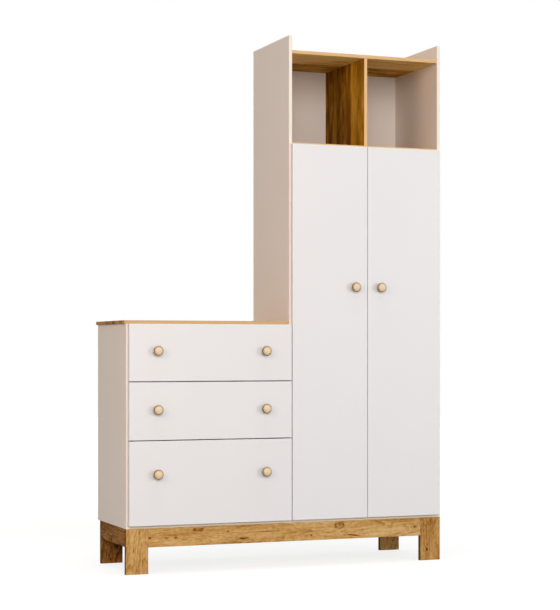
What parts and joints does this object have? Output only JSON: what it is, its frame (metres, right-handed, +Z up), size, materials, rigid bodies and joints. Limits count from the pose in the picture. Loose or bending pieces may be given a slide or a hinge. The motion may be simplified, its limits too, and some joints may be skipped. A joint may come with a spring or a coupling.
{
  "type": "chifforobe",
  "caption": "Low chest of drawers joined to a tall wardrobe with hinged doors and an open divided niche, all on one base of flat board legs and aprons.",
  "frame": {"origin": "on the floor, at the middle of the whole plan outline, knobs and top overhang included", "axes": "+X to the right as the viewer faces the fronts, +Y to the back, +Z up; the fronts face -Y"},
  "size_m": [1.204, 0.4194, 1.9],
  "materials": {
    "white_board": "white laminated board, satin",
    "white_front": "white laminated board, satin",
    "wood_board": "wood-look laminate, satin",
    "back_board": "white lacquered hardboard",
    "solid_pine": "oiled pine",
    "knob_wood": "lacquered turned wood",
    "box_wood": "white foiled board",
    "bottom_board": "white lacquered hardboard",
    "zinc_steel": "zinc plated",
    "nickel_steel": "nickel plated",
    "rail_steel": "chrome plated"
  },
  "bodies": {
    "cabinet": {"chest_side_panel": "white_board", "middle_side_panel": "white_board", "right_side_panel": "white_board", "wardrobe_shelf": "white_board", "chest_bottom_board": "white_board", "wardrobe_bottom_board": "white_board", "chest_top_board": "wood_board", "niche_floor_board": "wood_board", "niche_roof_board": "wood_board", "niche_divider": "wood_board", "chest_back_panel": "back_board", "wardrobe_back_panel": "back_board", "front_apron": "solid_pine", "rear_apron": "solid_pine", "left_apron": "solid_pine", "right_apron": "solid_pine", "middle_bearer": "solid_pine", "front_left_leg": "solid_pine", "front_right_leg": "solid_pine", "rear_left_leg": "solid_pine", "rear_right_leg": "solid_pine", "corner_blocks": "solid_pine", "slide_outer_members": "zinc_steel", "left_hinge_arms": "nickel_steel", "right_hinge_arms": "nickel_steel", "hinge_mounting_plates": "nickel_steel", "hanging_rail": "rail_steel", "rail_sockets": "rail_steel"},
    "upper_drawer": {"upper_drawer_front": "white_front", "upper_drawer_left_side": "box_wood", "upper_drawer_right_side": "box_wood", "upper_drawer_back": "box_wood", "upper_drawer_bottom": "bottom_board", "upper_drawer_knobs": "knob_wood", "upper_slide_inner_members": "zinc_steel"},
    "upper_runners": {"upper_slide_middle_members": "zinc_steel"},
    "middle_drawer": {"middle_drawer_front": "white_front", "middle_drawer_left_side": "box_wood", "middle_drawer_right_side": "box_wood", "middle_drawer_back": "box_wood", "middle_drawer_bottom": "bottom_board", "middle_drawer_knobs": "knob_wood", "middle_slide_inner_members": "zinc_steel"},
    "middle_runners": {"middle_slide_middle_members": "zinc_steel"},
    "lower_drawer": {"lower_drawer_front": "white_front", "lower_drawer_left_side": "box_wood", "lower_drawer_right_side": "box_wood", "lower_drawer_back": "box_wood", "lower_drawer_bottom": "bottom_board", "lower_drawer_knobs": "knob_wood", "lower_slide_inner_members": "zinc_steel"},
    "lower_runners": {"lower_slide_middle_members": "zinc_steel"},
    "left_wardrobe_door": {"left_door": "white_front", "left_door_knob": "knob_wood", "left_hinge_cups": "nickel_steel"},
    "left_links": {"left_hinge_links": "nickel_steel"},
    "right_wardrobe_door": {"right_door": "white_front", "right_door_knob": "knob_wood", "right_hinge_cups": "nickel_steel"},
    "right_links": {"right_hinge_links": "nickel_steel"}
  },
  "joints": [
    {"name": "upper_drawer_slide", "type": "slide", "parent": "cabinet", "child": "upper_drawer", "axis": [0, -1, 0], "range_m": [0, 0.33]},
    {"name": "upper_runner_slide", "type": "slide", "parent": "cabinet", "child": "upper_runners", "axis": [0, -1, 0], "range_m": [0, 0.165]},
    {"name": "middle_drawer_slide", "type": "slide", "parent": "cabinet", "child": "middle_drawer", "axis": [0, -1, 0], "range_m": [0, 0.33]},
    {"name": "middle_runner_slide", "type": "slide", "parent": "cabinet", "child": "middle_runners", "axis": [0, -1, 0], "range_m": [0, 0.165]},
    {"name": "lower_drawer_slide", "type": "slide", "parent": "cabinet", "child": "lower_drawer", "axis": [0, -1, 0], "range_m": [0, 0.33]},
    {"name": "lower_runner_slide", "type": "slide", "parent": "cabinet", "child": "lower_runners", "axis": [0, -1, 0], "range_m": [0, 0.165]},
    {"name": "left_door_hinge", "type": "hinge", "parent": "cabinet", "child": "left_wardrobe_door", "pos_m": [0.0175, -0.18165, 0.84], "axis": [0, 0, -1], "range_deg": [0, 90]},
    {"name": "left_link_hinge", "type": "hinge", "parent": "cabinet", "child": "left_links", "pos_m": [0.039, -0.17605, 0.84], "axis": [0, 0, -1], "range_deg": [-43.2, 0]},
    {"name": "right_door_hinge", "type": "hinge", "parent": "cabinet", "child": "right_wardrobe_door", "pos_m": [0.5895, -0.18165, 0.84], "axis": [0, 0, 1], "range_deg": [0, 90]},
    {"name": "right_link_hinge", "type": "hinge", "parent": "cabinet", "child": "right_links", "pos_m": [0.568, -0.17605, 0.84], "axis": [0, 0, 1], "range_deg": [-43.2, 0]}
  ],
  "couplings": [
    {"joint": "upper_runner_slide", "follows": "upper_drawer_slide", "ratio": 0.5},
    {"joint": "middle_runner_slide", "follows": "middle_drawer_slide", "ratio": 0.5},
    {"joint": "lower_runner_slide", "follows": "lower_drawer_slide", "ratio": 0.5},
    {"joint": "left_link_hinge", "follows": "left_door_hinge", "ratio": -0.48},
    {"joint": "right_link_hinge", "follows": "right_door_hinge", "ratio": -0.48}
  ]
}
